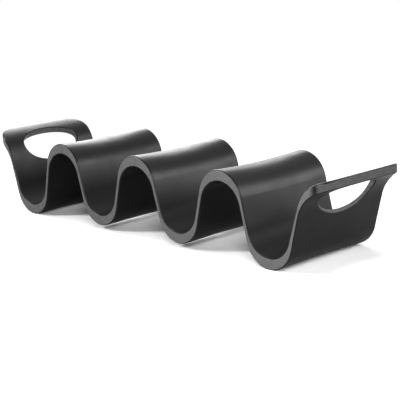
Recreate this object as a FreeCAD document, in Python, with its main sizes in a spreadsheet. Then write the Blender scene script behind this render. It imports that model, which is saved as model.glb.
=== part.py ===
import FreeCAD, Part
import math
import os
import Sketcher

# Taco holder: one moulded wave with a pierced handle at each end.
# Origin: middle of the outline on the surface it stands on. Length along X, width along Y.

doc = FreeCAD.newDocument("TacoHolder")

# Sizes of the holder, in millimetres and degrees
SIZES = {
    "pitch": 72.0,
    "width": 70.0,
    "crest_height": 50.4,
    "bend_wall": 6.5,
    "flank_run": 3.6,
    "bend_growth": 1.6,
    "middle_trough_lift": 2.6,
    "foot_flat": 0.2,
    "ridge_dip": 1.1,
    "belly_rise": 0.8,
    "handle_overhang": 2.0,
    "handle_height": 52.0,
    "handle_wall": 4.9,
    "handle_face_growth": 3.2,
    "handle_back_growth": 4.6,
    "handle_face_setback": 4.7,
    "handle_back_setback": 6.5,
    "corner_radius": 12.0,
    "corner_clearance": 5.0,
    "hole_offset": 5.7,
    "hole_drop": 9.8,
    "hole_tilt": 32.0,
    "hole_end_rim": 8.25,
    "hole_side_rim": 13.3,
    "edge_round": 0.9,
}

sheet = doc.addObject("Spreadsheet::Sheet", "Sizes")
for row, (alias, value) in enumerate(SIZES.items(), start=1):
    sheet.set(f"A{row}", alias)
    sheet.set(f"B{row}", repr(value))
    sheet.setAlias(f"B{row}", alias)
doc.recompute()

body = doc.addObject("PartDesign::Body", "taco_holder")
body.Label = "taco_holder"

UP = FreeCAD.Vector(0, 0, 1)

# How a sketch numbers the points of its lines and arcs, and its own axes
START, END, CENTRE = range(1, 4)
ACROSS_AXIS, UPRIGHT_AXIS = -START, -END
ORIGIN = (ACROSS_AXIS, START)


def origin_plane(role):
    """One of the body's own origin planes."""
    return [feature for feature in body.Origin.OriginFeatures if feature.Role == role][0]


def length(**parts):
    """A length made of several sizes: its value now and the expression that keeps it."""
    value = sum(SIZES[name] * share for name, share in parts.items())
    terms = [f"{share} * <<Sizes>>.{name}" for name, share in parts.items()]
    return value, " + ".join(terms)


def less(parts):
    """The same sizes taken away instead of added."""
    return {name: -share for name, share in parts.items()}


# Where the bends of one half stand, in pitches from the middle crest
MIDDLE_CREST, INNER_TROUGH, OUTER_CREST, END_TROUGH, HANDLE_FLANK, HANDLE = 0, 0.5, 1, 1.5, 1.75, 2
HALF_LENGTH = length(pitch=HANDLE, handle_overhang=1)

# Bend radii: two bends fill half a pitch but for the run of the flank between them
WIDE_BEND = {"pitch": 0.25, "flank_run": -0.5, "bend_growth": 0.5}
TIGHT_BEND = {"pitch": 0.25, "flank_run": -0.5, "bend_growth": -0.5}
HANDLE_FACE = {**WIDE_BEND, "handle_face_growth": 1}
HANDLE_BACK = {**WIDE_BEND, "handle_back_growth": 1}


def drive(sketch, constraint, amount):
    """Adds a constraint with a value and ties it to the sizes it comes from."""
    kind, targets = constraint
    value, expression = amount
    index = sketch.addConstraint(Sketcher.Constraint(kind, *targets, value))
    sketch.setExpression(f"Constraints[{index}]", expression)


# Half of the wave's section, from the middle crest out to one handle
def serving_face(waist):
    """Bends of the upper face: kind, distance from the middle, centre height, radius."""
    crest = length(crest_height=1, ridge_dip=-waist, **less(WIDE_BEND))
    inner = length(middle_trough_lift=1, bend_wall=1, belly_rise=waist, **TIGHT_BEND)
    end = length(bend_wall=1, belly_rise=waist, foot_flat=-1, **TIGHT_BEND)
    handle = length(handle_height=1, **less(HANDLE_FACE))
    return [
        ("crest", length(pitch=MIDDLE_CREST), crest, length(**WIDE_BEND)),
        ("trough", length(pitch=INNER_TROUGH), inner, length(**TIGHT_BEND)),
        ("crest", length(pitch=OUTER_CREST), crest, length(**WIDE_BEND)),
        ("trough", length(pitch=END_TROUGH), end, length(**TIGHT_BEND)),
        ("crest", length(pitch=HANDLE, handle_face_setback=1), handle, length(**HANDLE_FACE)),
    ]


def standing_face(waist):
    """Bends of the lower face: kind, distance from the middle, centre height, radius."""
    crest = length(crest_height=1, bend_wall=-1, ridge_dip=-waist, **less(TIGHT_BEND))
    inner = length(middle_trough_lift=1, belly_rise=waist, **WIDE_BEND)
    end = length(belly_rise=waist, foot_flat=-1, **WIDE_BEND)
    handle = length(handle_height=1, handle_wall=-1, **less(HANDLE_BACK))
    return [
        ("crest", length(pitch=MIDDLE_CREST), crest, length(**TIGHT_BEND)),
        ("trough", length(pitch=INNER_TROUGH), inner, length(**WIDE_BEND)),
        ("crest", length(pitch=OUTER_CREST), crest, length(**TIGHT_BEND)),
        ("trough", length(pitch=END_TROUGH), end, length(**WIDE_BEND)),
        ("crest", length(pitch=HANDLE, handle_back_setback=1), handle, length(**HANDLE_BACK)),
    ]


def flank_lean(bend, following):
    """How far each of two bends turns from its highest or lowest point to the flank between them."""
    crest, trough = (bend, following) if bend[0] == "crest" else (following, bend)
    run = abs(trough[1][0] - crest[1][0])
    rise = trough[2][0] - crest[2][0]
    apart = math.hypot(run, rise)
    return math.atan2(run, rise) - math.acos((crest[3][0] + trough[3][0]) / apart)


def draw_face(sketch, bends):
    """Arcs joined by tangent flanks. Returns the geometry and point at each end of the chain."""
    count = len(bends)
    leans = [flank_lean(bends[k], bends[k + 1]) for k in range(count - 1)]
    last_kind, last_reach, last_height, last_radius = bends[-1]
    end_lean = math.asin((HALF_LENGTH[0] - last_reach[0]) / last_radius[0])
    arcs = []
    for k, (kind, reach, height, radius) in enumerate(bends):
        before = leans[k - 1] if k > 0 else 0.0
        after = leans[k] if k < count - 1 else end_lean
        if kind == "crest":
            low, high = math.pi / 2 - after, math.pi / 2 + before
        else:
            low, high = -math.pi / 2 - before, -math.pi / 2 + after
        circle = Part.Circle(FreeCAD.Vector(reach[0], height[0], 0), UP, radius[0])
        arcs.append(sketch.addGeometry(Part.ArcOfCircle(circle, low, high), False))
    near = [END if bend[0] == "crest" else START for bend in bends]
    far = [START if bend[0] == "crest" else END for bend in bends]
    flanks = []
    for k in range(count - 1):
        start = sketch.getPoint(arcs[k], far[k])
        end = sketch.getPoint(arcs[k + 1], near[k + 1])
        flanks.append(sketch.addGeometry(Part.LineSegment(start, end), False))
    for k, flank in enumerate(flanks):
        sketch.addConstraint(Sketcher.Constraint("Tangent", arcs[k], far[k], flank, START))
        sketch.addConstraint(Sketcher.Constraint("Tangent", flank, END, arcs[k + 1], near[k + 1]))
    for k, (kind, reach, height, radius) in enumerate(bends):
        drive(sketch, ("Radius", (arcs[k],)), radius)
        drive(sketch, ("DistanceY", (*ORIGIN, arcs[k], CENTRE)), height)
        if k > 0:
            drive(sketch, ("DistanceX", (*ORIGIN, arcs[k], CENTRE)), reach)
    sketch.addConstraint(Sketcher.Constraint("PointOnObject", arcs[0], CENTRE, UPRIGHT_AXIS))
    sketch.addConstraint(Sketcher.Constraint("PointOnObject", arcs[0], near[0], UPRIGHT_AXIS))
    drive(sketch, ("DistanceX", (*ORIGIN, arcs[-1], far[-1])), HALF_LENGTH)
    return (arcs[0], near[0]), (arcs[-1], far[-1])


def draw_section(label, side, waist):
    """One closed half section, at a share of the width off the middle; waist is 1 in the middle."""
    sketch = body.newObject("Sketcher::SketchObject", label)
    sketch.AttachmentSupport = [(origin_plane("XZ_Plane"), "")]
    sketch.MapMode = "FlatFace"
    sketch.setExpression("AttachmentOffset.Base.z", f"{side} * <<Sizes>>.width")
    top = draw_face(sketch, serving_face(waist))
    bottom = draw_face(sketch, standing_face(waist))
    for (upper, upper_point), (lower, lower_point) in zip(top, bottom):
        start = sketch.getPoint(upper, upper_point)
        end = sketch.getPoint(lower, lower_point)
        closing = sketch.addGeometry(Part.LineSegment(start, end), False)
        sketch.addConstraint(Sketcher.Constraint("Coincident", closing, START, upper, upper_point))
        sketch.addConstraint(Sketcher.Constraint("Coincident", closing, END, lower, lower_point))
    return sketch


near_section = draw_section("NearSection", 0.5, 0)
waist_section = draw_section("WaistSection", 0, 1)
far_section = draw_section("FarSection", -0.5, 0)
doc.recompute()

# The wave, drawn in slightly at its waist
wave = body.newObject("PartDesign::AdditiveLoft", "Wave")
wave.Profile = near_section
wave.Sections = [waist_section, far_section]
wave.Ruled = False
wave.Closed = False
for sketch in (near_section, waist_section, far_section):
    sketch.Visibility = False
doc.recompute()

# The finger hole, an ellipse pressed through the slope of the handle
hole = body.newObject("Sketcher::SketchObject", "HoleOutline")
hole.AttachmentSupport = [(origin_plane("XY_Plane"), "")]
hole.MapMode = "FlatFace"
hole.setExpression("AttachmentOffset.Base.x", length(pitch=HANDLE_FLANK, hole_offset=1)[1])
hole.setExpression("AttachmentOffset.Base.z", length(handle_height=1, hole_drop=-1)[1])
hole.setExpression("AttachmentOffset.Rotation.Axis.x", "0")
hole.setExpression("AttachmentOffset.Rotation.Axis.y", "-1")
hole.setExpression("AttachmentOffset.Rotation.Axis.z", "0")
hole.setExpression("AttachmentOffset.Rotation.Angle", "<<Sizes>>.hole_tilt")
half_across = length(width=0.5, hole_side_rim=-1)
half_along = length(pitch=HANDLE - HANDLE_FLANK, hole_end_rim=-1)
middle = FreeCAD.Vector(0, 0, 0)
tip = FreeCAD.Vector(0, half_across[0], 0)
side = FreeCAD.Vector(half_along[0], 0, 0)
rim = hole.addGeometry(Part.Ellipse(tip, side, middle), False)
tip_point = hole.addGeometry(Part.Point(tip), True)
side_point = hole.addGeometry(Part.Point(side), True)
hole.addConstraint(Sketcher.Constraint("Coincident", rim, CENTRE, *ORIGIN))
hole.addConstraint(Sketcher.Constraint("PointOnObject", tip_point, START, UPRIGHT_AXIS))
hole.addConstraint(Sketcher.Constraint("PointOnObject", side_point, START, ACROSS_AXIS))
hole.addConstraint(Sketcher.Constraint("PointOnObject", tip_point, START, rim))
hole.addConstraint(Sketcher.Constraint("PointOnObject", side_point, START, rim))
drive(hole, ("DistanceY", (*ORIGIN, tip_point, START)), half_across)
drive(hole, ("DistanceX", (*ORIGIN, side_point, START)), half_along)
doc.recompute()

finger_hole = body.newObject("PartDesign::Pocket", "FingerHole")
finger_hole.Profile = hole
finger_hole.Type = "ThroughAll"
finger_hole.Midplane = True
hole.Visibility = False
doc.recompute()

# What comes off the two corners of the handle, seen from above
corner_waste = body.newObject("Sketcher::SketchObject", "CornerWaste")
corner_waste.AttachmentSupport = [(origin_plane("XY_Plane"), "")]
corner_waste.MapMode = "FlatFace"
centre_reach = length(pitch=HANDLE, handle_overhang=1, corner_radius=-1)
centre_across = length(width=0.5, corner_radius=-1)
outside_reach = length(pitch=HANDLE, handle_overhang=1, corner_clearance=1)
outside_across = length(width=0.5, corner_clearance=1)
rounding = length(corner_radius=1)
for side in (1, -1):
    centre = FreeCAD.Vector(centre_reach[0], side * centre_across[0], 0)
    quarter = (0, math.pi / 2) if side > 0 else (-math.pi / 2, 0)
    corner_circle = Part.Circle(centre, UP, rounding[0])
    arc = corner_waste.addGeometry(Part.ArcOfCircle(corner_circle, *quarter), False)
    on_end, on_side = (START, END) if side > 0 else (END, START)
    stops = [
        corner_waste.getPoint(arc, on_end),
        FreeCAD.Vector(outside_reach[0], side * centre_across[0], 0),
        FreeCAD.Vector(outside_reach[0], side * outside_across[0], 0),
        FreeCAD.Vector(centre_reach[0], side * outside_across[0], 0),
        corner_waste.getPoint(arc, on_side),
    ]
    lines = [
        corner_waste.addGeometry(Part.LineSegment(stops[k], stops[k + 1]), False)
        for k in range(len(stops) - 1)
    ]
    corner_waste.addConstraint(Sketcher.Constraint("Coincident", lines[0], START, arc, on_end))
    corner_waste.addConstraint(Sketcher.Constraint("Coincident", lines[-1], END, arc, on_side))
    for first, second in zip(lines, lines[1:]):
        corner_waste.addConstraint(Sketcher.Constraint("Coincident", first, END, second, START))
    for line, direction in zip(lines, ("Horizontal", "Vertical", "Horizontal", "Vertical")):
        corner_waste.addConstraint(Sketcher.Constraint(direction, line))
    corner_waste.addConstraint(Sketcher.Constraint("Horizontal", arc, CENTRE, arc, on_end))
    corner_waste.addConstraint(Sketcher.Constraint("Vertical", arc, CENTRE, arc, on_side))
    drive(corner_waste, ("Radius", (arc,)), rounding)
    drive(corner_waste, ("DistanceX", (*ORIGIN, arc, CENTRE)), centre_reach)
    drive(corner_waste, ("DistanceX", (*ORIGIN, lines[1], START)), outside_reach)
    across = (*ORIGIN, arc, CENTRE) if side > 0 else (arc, CENTRE, *ORIGIN)
    drive(corner_waste, ("DistanceY", across), centre_across)
    outside = (*ORIGIN, lines[1], END) if side > 0 else (lines[1], END, *ORIGIN)
    drive(corner_waste, ("DistanceY", outside), outside_across)
doc.recompute()

handle_corners = body.newObject("PartDesign::Pocket", "HandleCorners")
handle_corners.Profile = corner_waste
handle_corners.Type = "ThroughAll"
handle_corners.Midplane = True
corner_waste.Visibility = False
doc.recompute()

# Two faces meet in a sharp edge from this turn in degrees on; edges nearer the middle stay
SHARP_TURN = 20.0
NEAR_MIDDLE = 0.01


def face_direction(face, point):
    """Which way a face looks at a point on it."""
    u, v = face.Surface.parameter(point)
    return face.normalAt(u, v)


def sharp_edges(shape):
    """Edges where two faces meet at a clear angle, but not those on the cut at the middle."""
    meeting = {}
    for face in shape.Faces:
        for edge in face.Edges:
            meeting.setdefault(edge.hashCode(), []).append(face)
    names = []
    for index, edge in enumerate(shape.Edges, start=1):
        faces = meeting.get(edge.hashCode(), [])
        if len(faces) != 2 or edge.CenterOfMass.x < NEAR_MIDDLE:
            continue
        middle = edge.valueAt((edge.FirstParameter + edge.LastParameter) / 2)
        turn = face_direction(faces[0], middle).getAngle(face_direction(faces[1], middle))
        if math.degrees(turn) > SHARP_TURN:
            names.append(f"Edge{index}")
    return names


# Every edge a hand or a shell could touch is eased
edge_rounds = body.newObject("PartDesign::Fillet", "EdgeRounds")
edge_rounds.Base = (handle_corners, sharp_edges(handle_corners.Shape))
edge_rounds.setExpression("Radius", "<<Sizes>>.edge_round")
doc.recompute()

# The flats it stands on, where the end trough comes down to its lowest
foot_plane = body.newObject("Sketcher::SketchObject", "FootPlane")
foot_plane.AttachmentSupport = [(origin_plane("XY_Plane"), "")]
foot_plane.MapMode = "FlatFace"
foot_inner = length(pitch=OUTER_CREST)
foot_outer = HALF_LENGTH
foot_across = length(width=0.5, corner_clearance=1)
foot_corners = [
    FreeCAD.Vector(foot_inner[0], -foot_across[0], 0),
    FreeCAD.Vector(foot_outer[0], -foot_across[0], 0),
    FreeCAD.Vector(foot_outer[0], foot_across[0], 0),
    FreeCAD.Vector(foot_inner[0], foot_across[0], 0),
]
foot_lines = [
    foot_plane.addGeometry(Part.LineSegment(start, end), False)
    for start, end in zip(foot_corners, foot_corners[1:] + foot_corners[:1])
]
for k, line in enumerate(foot_lines):
    following = foot_lines[(k + 1) % len(foot_lines)]
    foot_plane.addConstraint(Sketcher.Constraint("Coincident", line, END, following, START))
    foot_plane.addConstraint(Sketcher.Constraint("Horizontal" if k % 2 == 0 else "Vertical", line))
drive(foot_plane, ("DistanceX", (*ORIGIN, foot_lines[0], START)), foot_inner)
drive(foot_plane, ("DistanceX", (*ORIGIN, foot_lines[0], END)), foot_outer)
drive(foot_plane, ("DistanceY", (foot_lines[0], START, *ORIGIN)), foot_across)
drive(foot_plane, ("DistanceY", (*ORIGIN, foot_lines[2], START)), foot_across)
doc.recompute()

feet = body.newObject("PartDesign::Pocket", "Feet")
feet.Profile = foot_plane
feet.Type = "ThroughAll"
foot_plane.Visibility = False
doc.recompute()

# The other half, with its own handle
whole = body.newObject("PartDesign::Mirrored", "OtherHalf")
whole.TransformMode = "Whole shape"
whole.MirrorPlane = (origin_plane("YZ_Plane"), [""])
body.Tip = whole
doc.recompute()

body.Placement = FreeCAD.Placement()
doc.recompute()

for thing in doc.Objects:
    if "Invalid" in thing.State or "Error" in thing.State:
        raise RuntimeError(f"{thing.Name} did not rebuild: {thing.State}")
if body.Shape.isNull() or not body.Shape.isValid() or len(body.Shape.Solids) != 1:
    raise RuntimeError("the holder is not one valid solid")

# Measured on a fine mesh, because a spline face's own box is too wide
MESH_FINENESS = 0.05
points, triangles = body.Shape.tessellate(MESH_FINENESS)
box = FreeCAD.BoundBox()
for point in points:
    box.add(point)
print(f"length {box.XLength:.2f}, width {box.YLength:.2f}, height {box.ZLength:.2f}")
print(f"volume {body.Shape.Volume:.0f}, lowest point {box.ZMin:.3f}")

os.makedirs("parts", exist_ok=True)
body.Shape.exportStep("parts/taco_holder.step")
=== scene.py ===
# %% [markdown]
# A taco holder stands on a table: one thick ribbon of black plastic, moulded in waves, with a
# pierced handle at each end. Its whole form follows one rule, so the wave could be grown here by
# a node group that sweeps a section along a curve. But the real thing has evenly rounded edges
# all round, crests that sag in the middle, and oval holes that are cut at a slant and rounded
# too. The solid already has all of that, and a swept copy would only lose it. So the imported
# solid itself is what the camera sees, and it is loaded first. Nothing here may make the object
# bigger.

# %% Load the moulded solid
from math import cos, radians, sin

import bpy
from mathutils import Matrix, Quaternion, Vector

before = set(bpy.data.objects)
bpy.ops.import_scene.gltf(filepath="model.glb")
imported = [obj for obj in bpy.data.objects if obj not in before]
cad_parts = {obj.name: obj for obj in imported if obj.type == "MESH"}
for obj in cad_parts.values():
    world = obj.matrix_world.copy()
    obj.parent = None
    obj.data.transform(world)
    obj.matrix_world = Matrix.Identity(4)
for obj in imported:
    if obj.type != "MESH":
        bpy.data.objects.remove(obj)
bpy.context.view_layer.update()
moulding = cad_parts["taco_holder"]

# %% [markdown]
# The camera looks down on the holder from the right, a little above its crests, with a long
# lens, so that the far handle is hardly smaller than the near one. A camera could be placed by
# eye. Here its turn, height, roll and distance are the ones at which the wave's outlines fall
# where the photograph has them, so they are written down as numbers with names.

# %% The camera
SENSOR_MM = 36.0
LENS_MM = 106.90
CAMERA_REACH = (0.01, 20.0)
CAMERA_AZIMUTH = 0.83046
CAMERA_ELEVATION = 0.2257
CAMERA_ROLL = 0.04879
CAMERA_DISTANCE = 0.71765
LOOKED_AT = Vector((0.01782, 0.0, 0.01947))


def photographer_camera():
    """A camera at the photograph's place, made scene.camera."""
    lens = bpy.data.cameras.new("photographer")
    lens.sensor_width = SENSOR_MM
    lens.lens = LENS_MM
    lens.clip_start, lens.clip_end = CAMERA_REACH
    camera = bpy.data.objects.new("photographer", lens)
    bpy.context.scene.collection.objects.link(camera)
    right = Vector((cos(CAMERA_AZIMUTH), sin(CAMERA_AZIMUTH), 0.0))
    away = Vector((sin(CAMERA_AZIMUTH), -cos(CAMERA_AZIMUTH), 0.0))
    back = away * cos(CAMERA_ELEVATION) + Vector((0.0, 0.0, sin(CAMERA_ELEVATION)))
    up = back.cross(right)
    rolled_right = right * cos(CAMERA_ROLL) - up * sin(CAMERA_ROLL)
    rolled_up = right * sin(CAMERA_ROLL) + up * cos(CAMERA_ROLL)
    turn = Matrix((rolled_right, rolled_up, back)).transposed().to_4x4()
    camera.matrix_world = Matrix.Translation(LOOKED_AT + back * CAMERA_DISTANCE) @ turn
    bpy.context.scene.camera = camera
    return camera


camera = photographer_camera()
print("camera at", [round(c, 3) for c in camera.matrix_world.translation])

# %% [markdown]
# A finish is a formula over the surface: how dark, how rough, how bumpy it is at each point.
# Nodes could be placed and linked one by one, which is hard to read back. The small class
# below wraps a socket, so that a formula is written as Python writes it, and each operator
# adds the Math node that it stands for.

# %% Shader formulas
X, Y, Z = range(3)


class Wire:
    """An output socket that can be used in a formula."""

    def __init__(self, tree, socket):
        self.tree = tree
        self.socket = socket

    def node(self, kind, settings=None, inputs=None, output=0):
        """Any node: its type, its settings, then values or wires for its sockets."""
        made = self.tree.nodes.new(kind)
        for name, value in (settings or {}).items():
            setattr(made, name, value)
        for name, value in (inputs or {}).items():
            if isinstance(value, Wire):
                self.tree.links.new(value.socket, made.inputs[name])
            else:
                made.inputs[name].default_value = value
        return Wire(self.tree, made.outputs[output])

    def maths(self, operation, *values):
        """One Math node."""
        return self.node("ShaderNodeMath", {"operation": operation}, dict(enumerate(values)))

    def __add__(self, other):
        return self.maths("ADD", self, other)

    def __sub__(self, other):
        return self.maths("SUBTRACT", self, other)

    def __rsub__(self, other):
        return self.maths("SUBTRACT", other, self)

    def __mul__(self, other):
        return self.maths("MULTIPLY", self, other)

    __radd__ = __add__
    __rmul__ = __mul__

    def larger(self, other):
        """The larger of two values."""
        return self.maths("MAXIMUM", self, other)

    def smaller(self, other):
        """The smaller of two values."""
        return self.maths("MINIMUM", self, other)

    def size(self):
        """The value without its sign."""
        return self.maths("ABSOLUTE", self)

    def sign(self):
        """1 for a positive value and -1 for a negative one."""
        return self.maths("SIGN", self)


print("formulas ready: + - * larger smaller size sign")

# %% [markdown]
# A few steps are needed again and again: a soft step from 0 to 1, one coordinate of a point,
# a random pattern, a bump, a blend of two colours. Each could be a node group. A short function
# with a plain name does the same, and the formula that uses it stays readable.

# %% Steps, patterns and blends
FIRST_COLOUR, SECOND_COLOUR, MIXED_COLOUR = 6, 7, 2


def between(value, low, high):
    """0 up to low, 1 from high on, and a soft step in between."""
    settings = {"interpolation_type": "SMOOTHSTEP"}
    inputs = {"Value": value, "From Min": low, "From Max": high}
    return value.node("ShaderNodeMapRange", settings, inputs)


def part(vector, axis):
    """One coordinate of a vector."""
    return vector.node("ShaderNodeSeparateXYZ", None, {"Vector": vector}, axis)


def stretched(vector, factors):
    """A vector stretched along each axis."""
    return vector.node("ShaderNodeVectorMath", {"operation": "MULTIPLY"}, {0: vector, 1: factors})


def length(vector):
    """How long a vector is."""
    return vector.node("ShaderNodeVectorMath", {"operation": "LENGTH"}, {0: vector}, "Value")


def noise(place, scale, detail):
    """A random pattern over a place, from 0 to 1."""
    inputs = {"Vector": place, "Scale": scale, "Detail": detail}
    return place.node("ShaderNodeTexNoise", None, inputs)


def bump(height, strength, distance, under=None):
    """The direction of a surface raised by a height, on top of another bump if there is one."""
    inputs = {"Strength": strength, "Distance": distance, "Height": height}
    if under is not None:
        inputs["Normal"] = under
    return height.node("ShaderNodeBump", None, inputs)


def blended(value, low, high):
    """A colour between two colours, by a value."""
    inputs = {"Factor": value, FIRST_COLOUR: low, SECOND_COLOUR: high}
    return value.node("ShaderNodeMix", {"data_type": "RGBA"}, inputs, MIXED_COLOUR)


def grey(value):
    """A neutral colour."""
    return (value, value, value, 1.0)


print("steps ready: between, part, stretched, length, noise, bump, blended")

# %% [markdown]
# Every material, and the world too, begins with its coordinates and ends at its output. Both
# come with a first set of nodes of their own, which is cleared, so that nothing but the
# formula is left.

# %% First and last nodes
def coordinates(owner, *kinds):
    """Clear the nodes of a material or a world, and give wires of its coordinates."""
    owner.use_nodes = True
    tree = owner.node_tree
    tree.nodes.clear()
    source = tree.nodes.new("ShaderNodeTexCoord")
    return [Wire(tree, source.outputs[kind]) for kind in kinds]


def show(shader, output="ShaderNodeOutputMaterial"):
    """Lead a shader to the output of its material or world."""
    end = shader.tree.nodes.new(output)
    shader.tree.links.new(shader.socket, end.inputs["Surface"])


print("each finish: coordinates first, output last")

# %% [markdown]
# The broad faces of the real holder came off a smooth mould. Its side edges, the outer ends of
# its handles and the walls of its finger holes have a fine grain and a rougher finish, as a face
# has that was trimmed after moulding. They also look lighter than the faces because of the light
# they catch, and that lightness is painted light, put into their colour. Materials could be given
# to sets of faces, but each border would be a hard line. So one material asks where a point is
# and which way it faces, and lets one look fade into the next across the rounded edge.

# %% Where the plastic was trimmed, and where light is painted on it
TURNED_SIDEWAYS = (0.86, 0.98)
ON_THE_ROUND = (0.2, 0.4)
HANDLE_END = (0.1405, 0.1425)
TURNED_UP = (0.1, 0.3)
HOLE_START = (0.119, 0.120)
HOLE_SIDE = (0.0235, 0.0245)
HOLE_TILT = radians(32.0)
TURNED_THROUGH = (0.3, 0.6)


def trimmed_and_painted_light_parts(place, normal):
    """1 on the side edges, on the rounds beside them, on the handles' ends, in the holes; all but
    the rounds also carry painted light.
    """
    out, across = part(place, X).size(), part(place, Y).size()
    sideways, upward = part(normal, Y).size(), part(normal, Z)
    side = between(sideways, *TURNED_SIDEWAYS)
    rounded = between(sideways, *ON_THE_ROUND) * (1.0 - side)
    past_hole = between(out, *HANDLE_END)
    end = past_hole * (1.0 - between(upward.size(), *TURNED_UP))
    near_hole = between(out, *HOLE_START) * (1.0 - between(across, *HOLE_SIDE))
    outward = part(normal, X) * part(place, X).sign()
    through = upward * cos(HOLE_TILT) - outward * sin(HOLE_TILT)
    wall = near_hole * (1.0 - past_hole) * (1.0 - between(through.size(), *TURNED_THROUGH))
    return side, rounded, end, wall


print("hole walls tilted by", round(HOLE_TILT, 3), "radians")

# %% [markdown]
# The crests of the real holder are bent more tightly near their two sides than in the middle,
# by a fraction of a millimetre, and it shows only in how the highlight bends. The solid's
# crest is even. It could be cut anew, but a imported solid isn't changed for its looks, so a bump
# gives it that: a low peak along each ridge, growing to the sides.

# %% The peaks of the crests
CREST_PITCH = 0.072
CREST_REACH = 0.013
CREST_PEAK = 0.0010
PEAK_START = (0.005, 0.033)


def crest_peaks(place):
    """The bump that makes the crests look more peaked near their sides."""
    out, across = part(place, X).size(), part(place, Y).size()
    from_crest = out.smaller((out - CREST_PITCH).size())
    ridge = 1.0 - between(from_crest, 0.0, CREST_REACH)
    peak = ridge * between(across, *PEAK_START)
    return bump(peak, 1.0, CREST_PEAK)


print("crests at 0 and at", CREST_PITCH, "m to both sides")

# %% [markdown]
# The plastic is matt, not glossy: its own fine texture swallows part of what a plain plastic
# mirrors, so its index is set low. The faces are black and a little cloudy, and duller low in the
# troughs, where food and washing wear them. The trimmed parts are dark grey, with a grain that
# was dragged along the edge, so the pattern is drawn out; that grey is painted light, for the
# light these parts catch. The rounds between the two are rubbed a little shinier. A picture of
# the surface could be laid over the holder, but it would need seams and wouldn't stay sharp up
# close. Three noises are enough: haze, grain and pores.

# %% The black moulded plastic
PLASTIC_IOR = 1.27
FACE_BLACK = grey(0.003)
# Painted light: this lighter grey of the side edges, handle ends and hole walls stands in for the
# light those faces catch; the grain drawn into it is the plastic's own.
PAINTED_LIGHT_GREY = grey(0.088)
FACE_ROUGHNESS = 0.4
TROUGH_ROUGHNESS = 0.52
TRIMMED_ROUGHNESS = 0.65
RUBBED_SHINE = 0.14
DULL_BELOW = (0.014, 0.042)
# The handles' ends and the hole walls get only part of that painted light.
END_PAINTED_LIGHT_SHARE = 0.5
WALL_PAINTED_LIGHT_SHARE = 0.8
GRAIN_STRETCH = (350.0, 350.0, 1400.0)
HAZE_SCALE = 90.0
PORE_SCALE = 1900.0
GRAIN_IN_COLOUR = 1.6
HAZE_IN_COLOUR = 0.4
HAZE_IN_ROUGHNESS = 0.2
HAZE_MIDDLE = 0.5
PORE_HEIGHT = 0.3
TEXTURE_STRENGTH = 0.12
TEXTURE_DISTANCE = 0.0004


def moulded_plastic():
    """Smooth satin black on the faces, and a dragged grain on the cut edges, ends and hole walls,
    lighter there by painted light.
    """
    material = bpy.data.materials.new("black_moulded_plastic")
    place, normal = coordinates(material, "Object", "Normal")
    side, rounded, end, wall = trimmed_and_painted_light_parts(place, normal)
    # Where light is painted into the colour: all of it on the side edges, part of it on the
    # handles' ends and the hole walls.
    grain_and_painted_light = side.larger(end * END_PAINTED_LIGHT_SHARE).larger(wall * WALL_PAINTED_LIGHT_SHARE)
    cut = side.larger(end).larger(wall)
    grain = noise(stretched(place, GRAIN_STRETCH), 1.0, 3.0)
    haze = noise(place, HAZE_SCALE, 3.0)
    pores = noise(place, PORE_SCALE, 2.0)

    # The painted light, broken up by the plastic's own grain and haze.
    painted_light_with_grain = grain_and_painted_light * (grain * GRAIN_IN_COLOUR + haze * HAZE_IN_COLOUR)
    low = 1.0 - between(part(place, Z), *DULL_BELOW)
    cloud = (haze - HAZE_MIDDLE) * HAZE_IN_ROUGHNESS
    face = FACE_ROUGHNESS + cloud + low * (TROUGH_ROUGHNESS - FACE_ROUGHNESS)
    matt = face * (1.0 - cut) + cut * TRIMMED_ROUGHNESS
    height = pores * (1.0 - grain_and_painted_light) * PORE_HEIGHT + grain * grain_and_painted_light
    finish = {
        "Base Color": blended(painted_light_with_grain, FACE_BLACK, PAINTED_LIGHT_GREY),
        "Roughness": matt - rounded * RUBBED_SHINE,
        "IOR": PLASTIC_IOR,
        "Normal": bump(height, TEXTURE_STRENGTH, TEXTURE_DISTANCE, under=crest_peaks(place)),
    }
    show(place.node("ShaderNodeBsdfPrincipled", None, finish))
    return material


plastic = moulded_plastic()
moulding.data.materials.clear()
moulding.data.materials.append(plastic)
print("material:", plastic.name, "with", len(plastic.node_tree.nodes), "nodes")

# %% [markdown]
# The holder stands on a white sweep. A photographer lights the paper until it is pure white,
# and the object keeps a soft shadow under each trough. The floor could be lit that hard here
# too, but then the black plastic would turn grey. So the paper near the holder is lit by the
# lamps and keeps its shadows, and further out it fades into a white glow of its own, which the
# camera sees and the plastic mirrors. The lamps light the paper a little past pure white. What
# the plastic mirrors of it is therefore a darker paper, which they bring to about pure white.

# %% The floor
FLOOR_HALF = 3.0
FLOOR_DROP = 0.0001
FLOOR_WHITE = grey(0.95)
FLOOR_MIRRORED = grey(0.6)
FLOOR_FADE = (0.16, 0.4)
WHITE_TO_RAYS = ("Is Camera Ray", "Is Glossy Ray", "Is Transmission Ray")


def seen_or_mirrored(start):
    """1 for the rays that see the background as white: camera, glossy and transmission rays."""
    camera, glossy, clear = (
        start.node("ShaderNodeLightPath", output=kind) for kind in WHITE_TO_RAYS)
    return camera.larger(glossy).larger(clear)


def white_paper():
    """Paper that the lamps light near the holder, and that glows white further out."""
    material = bpy.data.materials.new("white_paper")
    (place,) = coordinates(material, "Object")
    camera_ray = place.node("ShaderNodeLightPath", output="Is Camera Ray")
    colour = blended(camera_ray, FLOOR_MIRRORED, FLOOR_WHITE)
    paper = place.node("ShaderNodeBsdfDiffuse", None, {"Color": colour})
    glow = place.node("ShaderNodeEmission")
    glowing = seen_or_mirrored(place) * between(length(place), *FLOOR_FADE)
    show(place.node("ShaderNodeMixShader", None, {0: glowing, 1: paper, 2: glow}))
    return material


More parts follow.
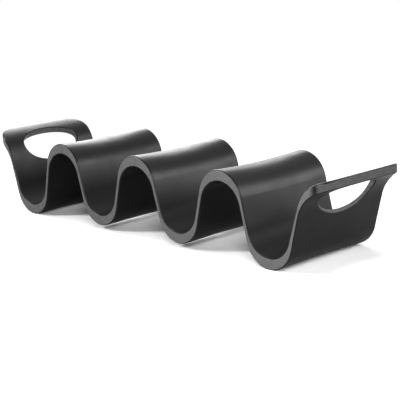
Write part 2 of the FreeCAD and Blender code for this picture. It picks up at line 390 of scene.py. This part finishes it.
def white_floor():
    """A wide white sheet under the holder."""
    mesh = bpy.data.meshes.new("white_floor")
    corners = [(-1, -1), (1, -1), (1, 1), (-1, 1)]
    points = [(x * FLOOR_HALF, y * FLOOR_HALF, -FLOOR_DROP) for x, y in corners]
    mesh.from_pydata(points, [], [(0, 1, 2, 3)])
    mesh.materials.append(white_paper())
    floor = bpy.data.objects.new("white_floor", mesh)
    bpy.context.scene.collection.objects.link(floor)
    return floor


floor = white_floor()
print("floor:", floor.name, "of", 2 * FLOOR_HALF, "m")

# %% [markdown]
# Black plastic shows its shape by what it mirrors: a white backdrop all round, and the lamps.
# That backdrop would also light the holder from every side, and wash out its blacks. A sphere
# of panels could be built, with a dark one wherever light has to be kept off. The world below
# does it with one formula: it is plain white where it is seen or mirrored, and a dim room,
# a little brighter near the horizon than overhead, where it lights a surface.

# %% The room
HORIZON_LIGHT = 0.2
OVERHEAD_LIGHT = 0.08
OVERHEAD_FROM = 0.3


def room_light():
    """The world: plain white where it is seen or mirrored, and a dim room where it lights."""
    world = bpy.data.worlds.new("room")
    (direction,) = coordinates(world, "Generated")
    seen = seen_or_mirrored(direction)
    rise = between(part(direction, Z), 0.0, OVERHEAD_FROM)
    room = rise * (OVERHEAD_LIGHT - HORIZON_LIGHT) + HORIZON_LIGHT
    light = {"Color": grey(1.0), "Strength": seen + room * (1.0 - seen)}
    show(direction.node("ShaderNodeBackground", None, light), "ShaderNodeOutputWorld")
    bpy.context.scene.world = world
    return world


room = room_light()
print("world:", room.name)

# %% [markdown]
# Five soft boxes light it, as in a small studio. A weak one above whitens the paper. The big
# one behind and to the left is mirrored along the top of each crest. It leans to one side, so
# that each crest mirrors less of it toward its far end. One behind and to the right gives the
# flanks their broad grey band. A small one close by, in front and to the right, brings out
# the trimmed edges at that end. The key light, in front and to the left, is far away and
# lays the soft shadows behind the troughs. Their places could be found by looking through the
# camera. Each was set where the plastic mirrors it, by how far the crests turn there.

# %% The lamps
HOLDER = (0.0, 0.0, 0.03)
RIGHT_END = (0.09, 0.0, 0.02)


def soft_box(name, place, aim, width, height, watts, lean=0.0):
    """An area lamp that faces a point and that the camera doesn't see."""
    lamp = bpy.data.lights.new(name, "AREA")
    lamp.shape = "RECTANGLE"
    lamp.size, lamp.size_y = width, height
    lamp.energy = watts
    box = bpy.data.objects.new(name, lamp)
    box.visible_camera = False
    box.location = place
    facing = (Vector(aim) - Vector(place)).to_track_quat("-Z", "Y")
    box.rotation_euler = (facing @ Quaternion((0.0, 0.0, 1.0), radians(lean))).to_euler()
    bpy.context.scene.collection.objects.link(box)
    return box


lamps = [
    soft_box("lamp_above", (-0.3, -0.05, 1.25), HOLDER, 0.5, 0.5, 8.0),
    soft_box("lamp_back_left", (-0.93, 0.75, 0.67), HOLDER, 0.62, 0.89, 13.2, lean=36.0),
    soft_box("lamp_back_right", (0.95, 0.85, 0.48), HOLDER, 0.6, 0.55, 13.0),
    soft_box("lamp_front_right", (0.34, -0.30, 0.2), RIGHT_END, 0.2, 0.2, 2.2),
    soft_box("lamp_front_left", (-0.85, -0.9, 0.85), HOLDER, 0.3, 0.3, 19.0),
]
for lamp in lamps:
    print(lamp.name, round(lamp.data.energy, 1), "W")

# %% [markdown]
# The last cell keeps colours as they are written.

# %% Colours as written
bpy.context.scene.view_settings.view_transform = "Standard"
